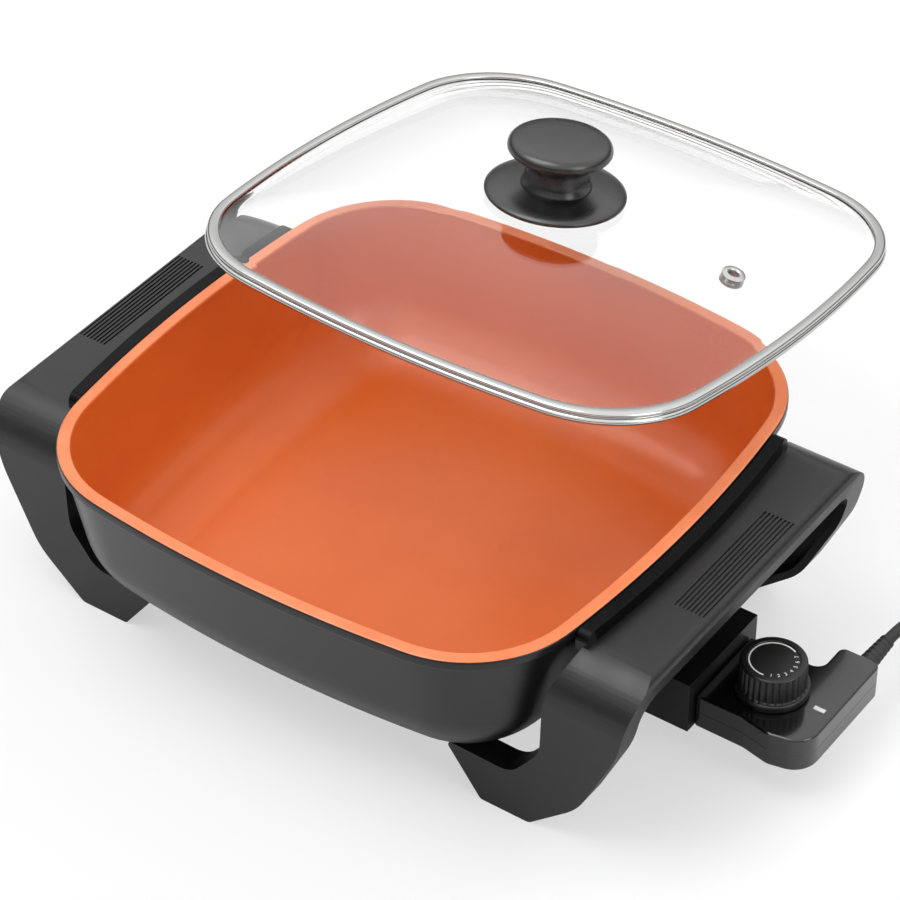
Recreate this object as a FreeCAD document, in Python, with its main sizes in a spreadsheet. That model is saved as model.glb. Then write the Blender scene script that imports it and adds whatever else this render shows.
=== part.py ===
import FreeCAD, Part
import math
import os
import re

import Sketcher
from FreeCAD import Placement, Rotation, Vector

# Electric skillet: square pan, two leg handles, loose glass lid, plug-in heat controller.
# Origin on the table under the middle of the pan, +X to the controller, -Y to the front.

doc = FreeCAD.newDocument("ElectricSkillet")
sheet = doc.addObject("Spreadsheet::Sheet", "Sizes")

SIZES = [
    ("panHalf", 152.5, "half width of the pan over its lip"),
    ("rimHeight", 115.0, "top of the lip above the table"),
    ("panBase", 28.0, "underside of the pan above the table"),
    ("sideBow", 730.0, "radius of the bowed sides at the lip"),
    ("rimCorner", 64.0, "corner radius of the lip in plan"),
    ("lipDepth", 6.0, "height of the lip"),
    ("lipWidth", 7.3, "flat width of the lip"),
    ("lipRound", 1.2, "rounding of the lip's outer edge"),
    ("wallHalfTop", 149.6, "half width of the wall under the lip"),
    ("wallHalfBase", 134.7, "half width where the drafted wall would meet the underside"),
    ("baseRound", 46.0, "outer radius between wall and base"),
    ("panWall", 4.0, "wall of the pan"),
    ("baseThick", 7.0, "thickness of the pan's base"),
    ("heatLine", 30.0, "height of the element, pins and sensor"),
    ("tubeRadius", 3.5, "radius of the heating element's sheath"),
    ("loopHalf", 84.0, "half width of the element's loop"),
    ("loopCorner", 42.0, "corner radius of the element's loop"),
    ("leadCorner", 12.0, "bend of the element's leads"),
    ("pinHalf", 15.0, "half the distance between the two pins"),
    ("pinRadius", 3.0, "radius of a terminal pin"),
    ("pinReach", 32.0, "length of a terminal pin"),
    ("bossStart", 94.0, "inner end of the terminal boss"),
    ("bossEnd", 124.0, "outer end of the terminal boss"),
    ("bossHalf", 31.0, "half width of the terminal boss"),
    ("bossDrop", 4.0, "how far the terminal boss hangs below the base"),
    ("bossRise", 7.0, "top of the terminal boss above the heat line"),
    ("sensorRadius", 3.0, "radius of the sensor rod"),
    ("sensorGap", 0.1, "radial clearance of the sensor rod in its hole"),
    ("sensorTip", 66.0, "distance of the sensor's tip from the pan's middle"),
    ("tunnelRadius", 5.4, "radius of the sensor tunnel under the base"),
    ("guardEnd", 176.0, "outer face of the socket guard"),
    ("guardHigh", 50.0, "top of the socket guard"),
    ("guardFloor", 4.0, "floor of the socket guard"),
    ("guardWall", 2.5, "wall of the socket guard"),
    ("guardTongue", 20.0, "length of the guard's tongue under the boss"),
    ("guardWindowHalf", 22.5, "half width of the guard's window"),
    ("guardWindowHigh", 13.0, "height of the guard's window"),
    ("partGap", 0.5, "gap between the pan and the plastic parts beside it"),
    ("runGap", 0.3, "gap between bodies that move apart"),
    ("handleTop", 107.0, "top of the handle bars"),
    ("handleInner", 152.0, "inner edge of the handle bar"),
    ("handleOuter", 192.0, "outer edge of the handle bar"),
    ("handleWall", 5.0, "plate thickness of the handles"),
    ("flangeWide", 4.0, "thickness of the handle's edge flange"),
    ("flangeDeep", 15.0, "depth of the handle's edge flange"),
    ("legReach", 109.0, "front face of the front legs from the middle"),
    ("legBend", 27.0, "bend between handle bar and leg"),
    ("footInner", 109.0, "inner end of a foot"),
    ("footOuter", 137.0, "outer end of a foot"),
    ("armTip", 88.0, "inner end of a leg's arm"),
    ("armDeep", 28.0, "reach of the arm's screw pad under the pan"),
    ("padThick", 6.0, "thickness of the arm's screw pad"),
    ("ridgeWide", 6.5, "width of the heat ridge"),
    ("ridgeHigh", 7.0, "height of the heat ridge over the bar"),
    ("ridgeHalf", 89.0, "half length of the heat ridge"),
    ("ribStart", 171.3, "first grip groove"),
    ("ribPitch", 2.2, "distance between grip grooves"),
    ("ribWide", 1.1, "width of a grip groove"),
    ("ribDeep", 0.8, "depth of a grip groove"),
    ("ribHalf", 40.7, "half length of a grip groove"),
    ("screwRadius", 2.0, "shank radius of the leg and guard screws"),
    ("headRadius", 4.0, "head radius of the leg and guard screws"),
    ("headHigh", 2.5, "head height of the leg and guard screws"),
    ("screwBite", 4.5, "how far these screws bite into the pan"),
    ("lidHalf", 146.4, "half width of the lid over its band"),
    ("lidBow", 701.0, "radius of the lid's bowed sides"),
    ("lidCorner", 61.6, "corner radius of the lid in plan"),
    ("bandHigh", 7.0, "height of the lid's steel band"),
    ("bandWide", 5.8, "width of the lid's steel band"),
    ("bandWall", 1.5, "wall of the band round the glass"),
    ("bandRound", 1.4, "rounding of the band"),
    ("domeRise", 21.0, "rise of the glass over its edge"),
    ("domeFlat", 28.0, "half width of the glass's flat middle"),
    ("glassDrop", 3.5, "sideways thickness of the glass at its shoulder"),
    ("lidBack", 108.3, "how far behind the pan's middle the lid hovers"),
    ("lidHover", 154.5, "height of the lid's band at its middle"),
    ("lidTilt", 8.4, "tilt of the lid, front edge up"),
    ("gasketRadius", 24.0, "radius of the knob's gasket"),
    ("gasketThick", 1.0, "thickness of the knob's gasket"),
    ("collarRadius", 36.0, "radius of the knob's collar"),
    ("collarThick", 6.0, "thickness of the knob's collar"),
    ("neckRadius", 16.5, "radius of the knob's neck"),
    ("gripRadius", 26.5, "radius of the knob's grip"),
    ("gripHigh", 24.5, "height of the grip above the collar"),
    ("gripEdge", 9.0, "height of the grip's rounded rim"),
    ("knobBolt", 2.5, "shank radius of the knob's screw"),
    ("insertRadius", 4.5, "radius of the brass insert"),
    ("insertLong", 12.0, "length of the brass insert"),
    ("washerRadius", 8.0, "radius of the washer under the glass"),
    ("washerThick", 1.0, "thickness of the washer under the glass"),
    ("ventX", 102.0, "steam vent from the lid's middle, sideways"),
    ("ventY", 6.0, "steam vent from the lid's middle, backwards"),
    ("ventHole", 2.6, "radius of the steam vent's bore"),
    ("ventTube", 4.2, "radius of the eyelet's tube"),
    ("ventFlange", 6.2, "radius of the eyelet's flange"),
    ("ventLip", 0.9, "thickness of the eyelet's flange"),
    ("ventSeat", 0.25, "height of the eyelet's upper flange over the glass"),
    ("ventGrip", 5.3, "length of the eyelet between its flanges"),
    ("shellHalf", 10.0, "half height of the controller"),
    ("shellWall", 2.2, "wall of the controller's shells"),
    ("noseHalf", 25.5, "half width of the controller's nose"),
    ("bellyReach", 28.5, "front bulge of the controller"),
    ("shellEnd", 238.0, "outer side of the controller"),
    ("cornerRound", 14.0, "big front corner of the controller"),
    ("horn", 45.0, "back end of the controller's horn"),
    ("hornWide", 22.0, "width of the controller's horn"),
    ("shellSoft", 1.4, "rounding of the controller's edges"),
    ("dialX", 203.5, "dial from the pan's middle"),
    ("dialSkirt", 18.5, "radius of the dial's base step"),
    ("dialRadius", 16.5, "radius of the dial's grip"),
    ("dialStep", 4.0, "height of the dial's base step"),
    ("dialHigh", 18.5, "height of the dial"),
    ("dialFlutes", 30.0, "number of grip flutes round the dial"),
    ("fluteRadius", 0.9, "radius of a grip flute"),
    ("shaftRadius", 3.0, "radius of the dial's shaft"),
    ("shaftGap", 0.2, "clearance of the shaft in the shell"),
    ("camRadius", 6.0, "radius of the shaft's cam"),
    ("sleeveRadius", 5.0, "outer radius of a contact sleeve"),
    ("sleeveGap", 0.1, "clearance of a sleeve over its pin"),
    ("sleeveStart", 140.0, "open end of the contact sleeves"),
    ("sleeveEnd", 196.0, "inner end of the contact sleeves"),
    ("stripThick", 0.8, "thickness of the bimetal and contact strips"),
    ("frameThick", 1.5, "thickness of the thermostat's frame"),
    ("lensX", 230.0, "indicator lens from the pan's middle"),
    ("lensLong", 6.0, "length of the indicator lens"),
    ("lensWide", 2.5, "width of the indicator lens"),
    ("lampRadius", 2.2, "radius of the neon lamp"),
    ("lampLong", 10.0, "length of the neon lamp"),
    ("postRadius", 3.4, "radius of the controller's screw posts"),
    ("shellScrew", 1.4, "radius of the controller's screws"),
    ("cordX", 227.5, "cord exit from the pan's middle"),
    ("cordRadius", 3.0, "radius of the cord"),
    ("reliefRadius", 5.2, "root radius of the strain relief"),
    ("reliefTip", 3.8, "tip radius of the strain relief"),
    ("reliefLong", 26.0, "length of the strain relief outside the shell"),
    ("coilX", 266.2, "middle of the put-away coil, sideways"),
    ("coilY", 165.0, "middle of the put-away coil, backwards"),
    ("coilOuter", 38.7, "radius of the outer loop"),
    ("coilInner", 26.8, "radius of the inner loop"),
    ("coilDip", 1.8, "how far the climbing half loop draws in"),
    ("layerTurns", 1.75, "loops in each of the coil's two layers"),
    ("loopPitch", 6.7, "height between the coil's two layers"),
    ("floorGap", 0.2, "height of the cord over the table"),
    ("cordLead", 28.0, "straight cord between the coil and the plug"),
    ("bootLong", 12.0, "length of the plug's boot"),
    ("plugLong", 30.0, "length of the plug's body"),
    ("plugWide", 24.0, "width of the plug's body"),
    ("plugHigh", 18.0, "height of the plug's body"),
    ("bladeHalf", 6.35, "half the distance between the plug's blades"),
    ("bladeLong", 16.0, "length of a plug blade"),
    ("bladeWide", 6.3, "width of a plug blade"),
    ("bladeThick", 1.5, "thickness of a plug blade"),
]

for row, (alias, value, meaning) in enumerate(SIZES, start=1):
    sheet.set(f"A{row}", meaning)
    sheet.set(f"B{row}", str(value))
    sheet.setAlias(f"B{row}", alias)
doc.recompute()


class Dimensions:
    """The spreadsheet's values as plain numbers."""


dim = Dimensions()
for alias, value, meaning in SIZES:
    setattr(dim, alias, float(getattr(sheet, alias)))

ALIASES = re.compile(r"\b(" + "|".join(alias for alias, value, meaning in SIZES) + r")\b")
UP = Vector(0, 0, 1)
ALONG_X = Rotation(Vector(0, 1, 0), 90)
pieces = []


def formula(text):
    """A formula in aliases, written for the spreadsheet's document."""
    return ALIASES.sub(r"Sizes.\1", text)


def bind(item, **formulas):
    """Tie properties of an object to formulas in the sheet's aliases."""
    for name, text in formulas.items():
        item.setExpression(name.replace("_", "."), formula(text))


def place(item, x="0", y="0", z="0"):
    item.setExpression("Placement.Base.x", formula(x))
    item.setExpression("Placement.Base.y", formula(y))
    item.setExpression("Placement.Base.z", formula(z))


def keep(item, label):
    item.Label = label
    pieces.append(item)
    return item


def feature(label, shape, placement=None):
    """A piece whose shape is worked out here from the sheet's values."""
    item = doc.addObject("Part::Feature", label)
    item.Shape = shape
    if placement:
        item.Placement = placement
    return keep(item, label)


def cylinder(name, radius, height, x, y, z, rotation=None):
    item = doc.addObject("Part::Cylinder", name)
    bind(item, Radius=radius, Height=height)
    if rotation:
        item.Placement = Placement(Vector(), rotation)
    place(item, x, y, z)
    return item


def box(name, length, width, height, x, y, z):
    item = doc.addObject("Part::Box", name)
    bind(item, Length=length, Width=width, Height=height)
    place(item, x, y, z)
    return item


def fuse(name, items):
    item = doc.addObject("Part::MultiFuse", name)
    item.Shapes = items
    return item


def cut(name, base, tool):
    item = doc.addObject("Part::Cut", name)
    item.Base = base
    item.Tool = tool
    return item


def compound(name, items):
    item = doc.addObject("Part::Compound", name)
    item.Links = items
    return item


def revolved(label, corners, placement=None):
    """A body turned about its own Z axis from corners (across, up) written as formulas."""
    body = doc.addObject("PartDesign::Body", label)
    planes = {plane.Role: plane for plane in body.Origin.OriginFeatures}
    sketch = body.newObject("Sketcher::SketchObject", label + "_profile")
    sketch.AttachmentSupport = (planes["XZ_Plane"], [""])
    sketch.MapMode = "FlatFace"
    at = []
    for across, up in corners:
        at.append(Vector(sheet.evalExpression(formula(across)), sheet.evalExpression(formula(up)), 0))
    for index, start in enumerate(at):
        sketch.addGeometry(Part.LineSegment(start, at[(index + 1) % len(at)]))
    for index in range(len(at)):
        before = (index - 1) % len(at)
        sketch.addConstraint(Sketcher.Constraint("Coincident", before, 2, index, 1))
    for index, (across, up) in enumerate(corners):
        for kind, text, number in (("DistanceX", across, at[index].x), ("DistanceY", up, at[index].y)):
            if number == 0 and text == "0":
                axis = -2 if kind == "DistanceX" else -1
                sketch.addConstraint(Sketcher.Constraint("PointOnObject", index, 1, axis))
                continue
            made = sketch.addConstraint(Sketcher.Constraint(kind, -1, 1, index, 1, number))
            sketch.setExpression(f"Constraints[{made}]", formula(text))
    turn = body.newObject("PartDesign::Revolution", label + "_turn")
    turn.Profile = sketch
    turn.ReferenceAxis = (sketch, ["V_Axis"])
    turn.Angle = 360
    if placement:
        body.Placement = placement
    return keep(body, label)


def rounded_square(half, corner, z, bow):
    """A square with bowed sides: four side arcs and four tangent corner arcs."""
    shift = bow - half
    reach = bow - corner
    centre = (math.sqrt(2 * reach ** 2 - shift ** 2) - shift) / 2
    toward = Vector(centre + shift, centre, 0)
    toward.normalize()
    join = Vector(-shift, 0, 0) + toward * bow
    tip = centre + corner / math.sqrt(2)
    edges = []
    for quarter in range(4):
        turn = Rotation(UP, 90 * quarter)
        side = [Vector(join.x, -join.y, 0), Vector(half, 0, 0), join]
        bend = [join, Vector(tip, tip, 0), Vector(join.y, join.x, 0)]
        for points in (side, bend):
            edges.append(Part.Arc(*[turn.multVec(point) + UP * z for point in points]).toShape())
    return Part.Wire(Part.__sortEdges__(edges))


def rounded_wire(corners, to_point):
    """A closed outline of lines and tangent arcs from corners (u, v, radius)."""
    count = len(corners)
    spans = []
    for index in range(count):
        here = Vector(corners[index][0], corners[index][1], 0)
        back = Vector(corners[index - 1][0], corners[index - 1][1], 0) - here
        ahead = Vector(corners[(index + 1) % count][0], corners[(index + 1) % count][1], 0) - here
        radius = corners[index][2]
        back.normalize()
        ahead.normalize()
        half = back.getAngle(ahead) / 2
        middle = back + ahead
        if radius == 0 or middle.Length < 1e-6:
            spans.append((here, None, here))
            continue
        middle.normalize()
        run = radius / math.tan(half)
        bulge = middle * (radius / math.sin(half) - radius)
        spans.append((here + back * run, here + bulge, here + ahead * run))
    edges = []
    for index, (start, middle, end) in enumerate(spans):
        if middle is not None:
            edges.append(Part.Arc(to_point(start), to_point(middle), to_point(end)).toShape())
        onward = spans[(index + 1) % count][0]
        if (onward - end).Length > 1e-6:
            edges.append(Part.LineSegment(to_point(end), to_point(onward)).toShape())
    return Part.Wire(edges)


def prism(wire, direction):
    return Part.Face(wire).extrude(direction)


def block(x_low, x_high, y_low, y_high, z_low, z_high):
    size = (x_high - x_low, y_high - y_low, z_high - z_low)
    return Part.makeBox(*size, Vector(x_low, y_low, z_low))


def rod_x(radius, x_low, x_high, y, z):
    return Part.makeCylinder(radius, x_high - x_low, Vector(x_low, y, z), Vector(1, 0, 0))


def edges_at(shape, z):
    """The edges of a shape that lie at one height."""
    return [edge for edge in shape.Edges
            if abs(edge.BoundBox.ZMin - z) < 0.01 and abs(edge.BoundBox.ZMax - z) < 0.01]


def pan_section(half, corner, z):
    """The pan's outline drawn in to a smaller half width."""
    return rounded_square(half, corner, z, dim.sideBow - (dim.panHalf - half))


# Pan

lip_under = dim.rimHeight - dim.lipDepth
pan_floor = dim.panBase + dim.baseThick
opening_half = dim.panHalf - dim.lipWidth
ROUND_STEPS = 9
boss_low = dim.panBase - dim.bossDrop
boss_high = dim.heatLine + dim.bossRise


def bowl(base_half, base_z, top_half, top_z, radius):
    """A closed bowl shape: a flat base, a round of that radius and a drafted wall up to the top."""
    slope = math.atan2(top_half - base_half, top_z - base_z)
    run = radius * math.tan((math.pi / 2 - slope) / 2)
    centre_half = base_half - run
    sections = []
    for step in range(ROUND_STEPS + 1):
        angle = (math.pi / 2 - slope) * step / ROUND_STEPS
        sections.append((centre_half + radius * math.sin(angle), base_z + radius * (1 - math.cos(angle))))
    sections.append((top_half, top_z))
    wires = [pan_section(half, dim.rimCorner - (dim.panHalf - half), z) for half, z in sections]
    return Part.makeLoft(wires, True, True)


def pan_outside(gap):
    """The pan's outer body without its lip, grown by a gap."""
    return bowl(dim.wallHalfBase + gap, dim.panBase - gap, dim.wallHalfTop + gap, lip_under, dim.baseRound + gap)


def element_path():
    """The element's line: two leads and a rounded loop round the base."""
    half = dim.loopHalf
    corners = [(dim.bossEnd, dim.pinHalf, 0), (half, dim.pinHalf, dim.leadCorner), (half, half, dim.loopCorner),
               (-half, half, dim.loopCorner), (-half, -half, dim.loopCorner), (half, -half, dim.loopCorner),
               (half, -dim.pinHalf, dim.leadCorner), (dim.bossEnd, -dim.pinHalf, 0)]
    closed = rounded_wire(corners, lambda point: point + UP * dim.heatLine)
    open_edges = closed.Edges[:-1]
    return Part.Wire(open_edges)


def element_tube():
    path = element_path()
    start = Vector(dim.bossEnd, dim.pinHalf, dim.heatLine)
    ring = Part.Wire(Part.makeCircle(dim.tubeRadius, start, Vector(1, 0, 0)))
    return path.makePipeShell([ring], True, False)


leg_screw_x = dim.armTip + 6
leg_screw_y = dim.legReach - dim.armDeep + 7
guard_screw_x = dim.bossEnd - dim.guardTongue / 2
guard_screw_y = dim.bossHalf - 6.5
screw_top = dim.panBase + dim.screwBite
leg_screws_at = [(sx * leg_screw_x, sy * leg_screw_y) for sx in (1, -1) for sy in (1, -1)]
guard_screws_at = [(guard_screw_x, guard_screw_y), (guard_screw_x, -guard_screw_y)]
heating_tube = element_tube()


def make_pan():
    body = pan_outside(0)
    lip = prism(pan_section(dim.panHalf, dim.rimCorner, lip_under), UP * dim.lipDepth)
    lip = lip.makeFillet(dim.lipRound, edges_at(lip, dim.rimHeight))
    boss = block(dim.bossStart, dim.bossEnd, -dim.bossHalf, dim.bossHalf, boss_low, boss_high)
    tunnel = rod_x(dim.tunnelRadius, dim.sensorTip - 6, dim.bossEnd, 0, dim.heatLine)
    body = body.fuse([lip, boss, tunnel])
    cavity = bowl(dim.wallHalfBase - dim.panWall, pan_floor, opening_half, dim.rimHeight,
                  dim.baseRound - dim.baseThick)
    body = body.cut(cavity)
    body = body.cut(heating_tube)
    hole = dim.sensorRadius + dim.sensorGap
    tools = [rod_x(hole, dim.sensorTip - 1, dim.bossEnd, 0, dim.heatLine)]
    for x, y in leg_screws_at:
        tools.append(Part.makeCylinder(dim.screwRadius, dim.screwBite, Vector(x, y, dim.panBase)))
    for x, y in guard_screws_at:
        tools.append(Part.makeCylinder(dim.screwRadius, screw_top - boss_low, Vector(x, y, boss_low)))
    return body.cut(tools)


feature("pan", make_pan())
feature("heating_element", heating_tube)

pins = []
for side, name in ((1, "back"), (-1, "front")):
    pins.append(cylinder("pin_" + name, "pinRadius", "pinReach", "bossEnd", f"{side} * pinHalf", "heatLine", ALONG_X))
keep(compound("terminal_pins", pins), "terminal_pins")


# Socket guard round the pins, screwed to the terminal boss

def make_guard():
    low = boss_low - dim.guardFloor
    shell = block(dim.bossEnd + dim.partGap, dim.guardEnd, -dim.bossHalf, dim.bossHalf, low, dim.guardHigh)
    inside = block(dim.bossEnd - 1, dim.guardEnd - dim.guardWall, dim.guardWall - dim.bossHalf,
                   dim.bossHalf - dim.guardWall, boss_low, dim.guardHigh - dim.guardWall)
    window = block(dim.guardEnd - dim.guardWall - 1, dim.guardEnd + 1, -dim.guardWindowHalf, dim.guardWindowHalf,
                   boss_low, boss_low + dim.guardWindowHigh)
    tongue = block(dim.bossEnd - dim.guardTongue, dim.bossEnd + 2, -dim.bossHalf, dim.bossHalf, low, boss_low)
    shell = shell.cut([inside, window]).fuse(tongue)
    shell = shell.cut(pan_outside(dim.partGap))
    holes = [Part.makeCylinder(dim.screwRadius, dim.guardFloor, Vector(x, y, low)) for x, y in guard_screws_at]
    return shell.cut(holes).removeSplitter()


feature("socket_guard", make_guard())


# Handles, each one moulding with a bar, two legs and two arms under the pan

def make_handle():
    reach = dim.legReach
    arch = [(-reach, -1, 0), (reach, -1, 0), (reach, dim.handleTop, dim.legBend), (-reach, dim.handleTop, dim.legBend)]

    def arch_space(inset):
        grown = []
        for y, z, radius in arch:
            side = reach - inset if y > 0 else inset - reach
            height = dim.handleTop - inset if z > 0 else z - 1
            grown.append((side, height, max(radius - inset, 0)))
        wire = rounded_wire(grown, lambda point: Vector(dim.armTip - 5, point.x, point.y))
        return prism(wire, Vector(dim.handleOuter - dim.armTip + 10, 0, 0))

    whole = arch_space(0)
    plate = whole.cut(arch_space(dim.handleWall))
    rim = whole.cut(arch_space(dim.flangeDeep))
    outline = [(dim.footInner, 0, 3), (dim.footOuter, 0, 5), (dim.footOuter + 27, dim.panBase - 4, 40),
               (dim.handleOuter - 8, dim.handleTop - 39, 70), (dim.handleOuter, dim.handleTop, 5),
               (dim.handleInner, dim.handleTop, 1.5), (dim.handleInner - 9, dim.handleTop - 23, 60),
               (dim.handleInner - 10, dim.panBase + 20, 18), (dim.armTip + 38, dim.panBase - 1, 14),
               (dim.armTip, dim.panBase, 2)]
    wire = rounded_wire(outline, lambda point: Vector(point.x, -reach - 2, point.y))
    front = Part.Face(wire)
    span = Vector(0, 2 * reach + 4, 0)
    core = front.makeOffset2D(-dim.flangeWide)
    body = plate.common(front.extrude(span))
    flange = rim.common(front.extrude(span).cut(core.extrude(span)))
    body = body.fuse(flange)
    ridge_outline = [(-dim.ridgeHalf, dim.handleTop - 4, 0), (dim.ridgeHalf, dim.handleTop - 4, 0),
                     (dim.ridgeHalf, dim.handleTop + dim.ridgeHigh, 5), (-dim.ridgeHalf, dim.handleTop + dim.ridgeHigh, 5)]
    ridge = prism(rounded_wire(ridge_outline, lambda point: Vector(dim.handleInner - 12, point.x, point.y)),
                  Vector(dim.ridgeWide + 20, 0, 0))
    outer = rounded_square(dim.panHalf + dim.partGap + dim.ridgeWide, dim.rimCorner + dim.ridgeWide, 90, dim.sideBow)
    ridge = ridge.common(prism(outer, UP * 40))
    body = body.fuse(ridge)
    inner = rounded_square(dim.panHalf + dim.partGap, dim.rimCorner + dim.partGap, dim.handleTop - 10, dim.sideBow)
    body = body.cut(prism(inner, UP * 40))
    grooves = []
    for index in range(8):
        x = dim.ribStart + index * dim.ribPitch
        grooves.append(block(x - dim.ribWide / 2, x + dim.ribWide / 2, -dim.ribHalf, dim.ribHalf,
                             dim.handleTop - dim.ribDeep, dim.handleTop + 1))
    body = body.cut(grooves)
    for sign in (1, -1):
        ends = sorted((sign * (reach - dim.handleWall), sign * (reach - dim.armDeep)))
        pad = block(dim.armTip, dim.armTip + 14, *ends, dim.panBase - dim.padThick, dim.panBase)
        body = body.fuse(pad)
    for x, y in leg_screws_at:
        if x > 0:
            body = body.cut(Part.makeCylinder(dim.screwRadius, dim.padThick, Vector(x, y, dim.panBase - dim.padThick)))
    return body.removeSplitter()


right_handle = make_handle()
feature("right_handle", right_handle)
feature("left_handle", right_handle.mirror(Vector(), Vector(1, 0, 0)))


def screw_group(name, places, head_top):
    """Pan-head screws pointing up into the pan, one solid each."""
    items = []
    for index, (x, y) in enumerate(places):
        head = cylinder(f"{name}_head_{index}", "headRadius", "headHigh", str(x), str(y), f"{head_top} - headHigh")
        shank = cylinder(f"{name}_shank_{index}", "screwRadius", f"panBase + screwBite - ({head_top})",
                         str(x), str(y), head_top)
        items.append(fuse(f"{name}_{index}", [head, shank]))
    return keep(compound(name, items), name)


screw_group("leg_screws", leg_screws_at, "panBase - padThick")
screw_group("guard_screws", guard_screws_at, "panBase - bossDrop - guardFloor")


# Lid, drawn flat about its own middle and then hung where it hovers

lid_pose = Placement(Vector(0, dim.lidBack, dim.lidHover), Rotation(Vector(1, 0, 0), -dim.lidTilt))
glass_thick = dim.bandHigh - 2 * dim.bandWall
glass_top = dim.bandHigh - dim.bandWall
dome_half = dim.lidHalf - dim.bandWide - 0.5


def lid_section(half, z):
    return rounded_square(half, dim.lidCorner * half / dim.lidHalf, z, dim.lidBow * half / dim.lidHalf)


def dome_height(half):
    """Height of the glass's outer face over its edge, at one half width."""
    return dim.domeRise * (1 - (half / dome_half) ** 3)


def make_glass():
    halves = [dome_half * share for share in (1.0, 0.94, 0.84, 0.68, 0.46)] + [dim.domeFlat]
    outer = Part.makeLoft([lid_section(half, glass_top + dome_height(half)) for half in halves], True, False)
    inner = Part.makeLoft([lid_section(half - dim.glassDrop, dim.bandWall + dome_height(half)) for half in halves],
                          True, False)
    edge = prism(lid_section(dim.lidHalf - dim.bandWall, dim.bandWall), UP * glass_thick)
    glass = edge.fuse(outer).cut(inner)
    top = glass_top + dome_height(dim.domeFlat)
    glass = glass.cut(Part.makeCylinder(dim.knobBolt, 20, Vector(0, 0, top - 10)))
    hole = Part.makeCylinder(dim.ventTube, 30, Vector(0, 0, -15))
    hole.Placement = vent_pose
    return glass.cut(hole).removeSplitter()


vent_reach = math.hypot(dim.ventX, dim.ventY)
vent_slope = math.degrees(math.atan(3 * dim.domeRise * vent_reach ** 2 / dome_half ** 3))
vent_pose = Placement(Vector(dim.ventX, dim.ventY, glass_top + dome_height(vent_reach)),
                      Rotation(Vector(0, 1, 0), vent_slope))


def make_band():
    ring = prism(lid_section(dim.lidHalf, 0), UP * dim.bandHigh)
    soft = edges_at(ring, 0) + edges_at(ring, dim.bandHigh)
    ring = ring.makeFillet(dim.bandRound, soft)
    ring = ring.cut(prism(lid_section(dim.lidHalf - dim.bandWide, -1), UP * (dim.bandHigh + 2)))
    return ring.cut(prism(lid_section(dim.lidHalf - dim.bandWall, dim.bandWall), UP * glass_thick))


feature("lid_glass", make_glass(), lid_pose)
feature("lid_band", make_band(), lid_pose)

under_glass = "(bandWall + domeRise * (1 - (domeFlat / (lidHalf - bandWide - 0.5)) ^ 3))"
glass_face = "(bandHigh - bandWall + domeRise * (1 - (domeFlat / (lidHalf - bandWide - 0.5)) ^ 3))"
collar_low = f"({glass_face} + gasketThick)"
grip_low = f"({collar_low} + collarThick)"

revolved("knob_gasket", [
    ("knobBolt", glass_face), ("gasketRadius", glass_face),
    ("gasketRadius", collar_low), ("knobBolt", collar_low)], lid_pose)
revolved("knob_collar", [
    ("knobBolt", collar_low), ("collarRadius - 1.2", collar_low), ("collarRadius", collar_low + " + 1.2"),
    ("collarRadius", collar_low + " + 2.6"), ("collarRadius - 1.6", collar_low + " + 4.4"),
    ("collarRadius - 7", collar_low + " + 5.4"), ("neckRadius + 3", grip_low), ("knobBolt", grip_low)], lid_pose)
revolved("knob_grip", [
    ("insertRadius", grip_low), ("neckRadius + 1.5", grip_low), ("neckRadius", grip_low + " + 3"),
    ("neckRadius", grip_low + " + gripHigh - gripEdge - 6"), ("neckRadius + 3", grip_low + " + gripHigh - gripEdge - 3"),
    ("gripRadius - 2", grip_low + " + gripHigh - gripEdge"), ("gripRadius", grip_low + " + gripHigh - gripEdge + 2.5"),
    ("gripRadius", grip_low + " + gripHigh - 4"), ("gripRadius - 1.6", grip_low + " + gripHigh - 1.5"),
    ("gripRadius - 5", grip_low + " + gripHigh"), ("0", grip_low + " + gripHigh + 0.6"),
    ("0", grip_low + " + insertLong"), ("insertRadius", grip_low + " + insertLong")], lid_pose)
revolved("knob_insert", [
    ("knobBolt", grip_low), ("insertRadius", grip_low), ("insertRadius", grip_low + " + insertLong"),
    ("knobBolt", grip_low + " + insertLong")], lid_pose)
revolved("knob_washer", [
    ("knobBolt", under_glass + " - washerThick"), ("washerRadius", under_glass + " - washerThick"),
    ("washerRadius", under_glass), ("knobBolt", under_glass)], lid_pose)
revolved("knob_screw", [
    ("0", under_glass + " - washerThick - 3"), ("4", under_glass + " - washerThick - 3"),
    ("5", under_glass + " - washerThick - 2"), ("5", under_glass + " - washerThick"),
    ("knobBolt", under_glass + " - washerThick"), ("knobBolt", grip_low + " + insertLong - 2"),
    ("0", grip_low + " + insertLong - 2")], lid_pose)
revolved("steam_vent", [
    ("ventHole", "ventSeat - ventGrip - ventLip"), ("ventFlange", "ventSeat - ventGrip - ventLip"),
    ("ventFlange", "ventSeat - ventGrip"), ("ventTube", "ventSeat - ventGrip"), ("ventTube", "ventSeat"),
    ("ventFlange", "ventSeat"), ("ventFlange", "ventSeat + ventLip"), ("ventHole + 0.6", "ventSeat + ventLip + 0.7"),
    ("ventHole", "ventSeat + ventLip")], lid_pose.multiply(vent_pose))


# Heat controller: two shells split at the heat line, with the dial, sensor and contacts

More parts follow.
